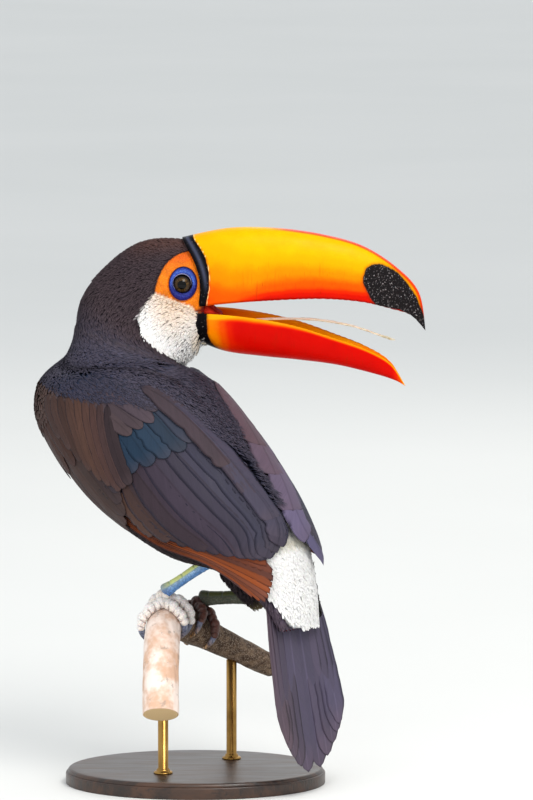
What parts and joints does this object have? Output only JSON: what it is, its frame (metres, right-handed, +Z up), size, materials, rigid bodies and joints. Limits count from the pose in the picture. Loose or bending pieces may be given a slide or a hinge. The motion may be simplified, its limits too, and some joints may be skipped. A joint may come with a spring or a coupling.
{
  "type": "toco toucan model",
  "caption": "Life-size still model of a toco toucan looking back over its shoulder with its bill open, gripping a cut branch on a small stand.",
  "frame": {"origin": "middle of the underside of the stand's base", "axes": "+X the way the bill points, +Z up, +Y away from the side the bird's back turns to"},
  "size_m": [0.2947, 0.178, 0.4171],
  "materials": {
    "body_plumage": "soft feathers, blackish with a white bib and rump",
    "wing_plumage": "flat layered feathers, slate black with brown edges",
    "tail_plumage": "long stiff feathers, purplish black",
    "bill_horn": "satin horn, orange with a black band and tip",
    "tongue": "thin pale horny blade",
    "mouth_skin": "moist red skin",
    "eye": "clear cornea over a dark brown iris",
    "leg_skin": "scaly blue-grey skin",
    "claw_horn": "smooth dark horn",
    "perch_bark": "pale bark with sawn ends",
    "stand_wood": "dark satin wood",
    "stand_metal": "brushed brass"
  },
  "bodies": {
    "root": {"head": "body_plumage", "neck": "body_plumage", "trunk": "body_plumage", "thigh_left": "body_plumage", "thigh_right": "body_plumage", "wing_left": "wing_plumage", "wing_right": "wing_plumage", "tail": "tail_plumage", "bill_upper": "bill_horn", "bill_lower": "bill_horn", "tongue": "tongue", "mouth_lining": "mouth_skin", "eye_left": "eye", "eye_right": "eye", "shank_left": "leg_skin", "foot_left": "leg_skin", "claw_left_1": "claw_horn", "claw_left_2": "claw_horn", "claw_left_3": "claw_horn", "claw_left_4": "claw_horn", "shank_right": "leg_skin", "foot_right": "leg_skin", "claw_right_1": "claw_horn", "claw_right_2": "claw_horn", "claw_right_3": "claw_horn", "claw_right_4": "claw_horn", "perch": "perch_bark", "stand_base": "stand_wood", "stand_rod_1": "stand_metal", "stand_rod_2": "stand_metal"}
  },
  "joints": []
}
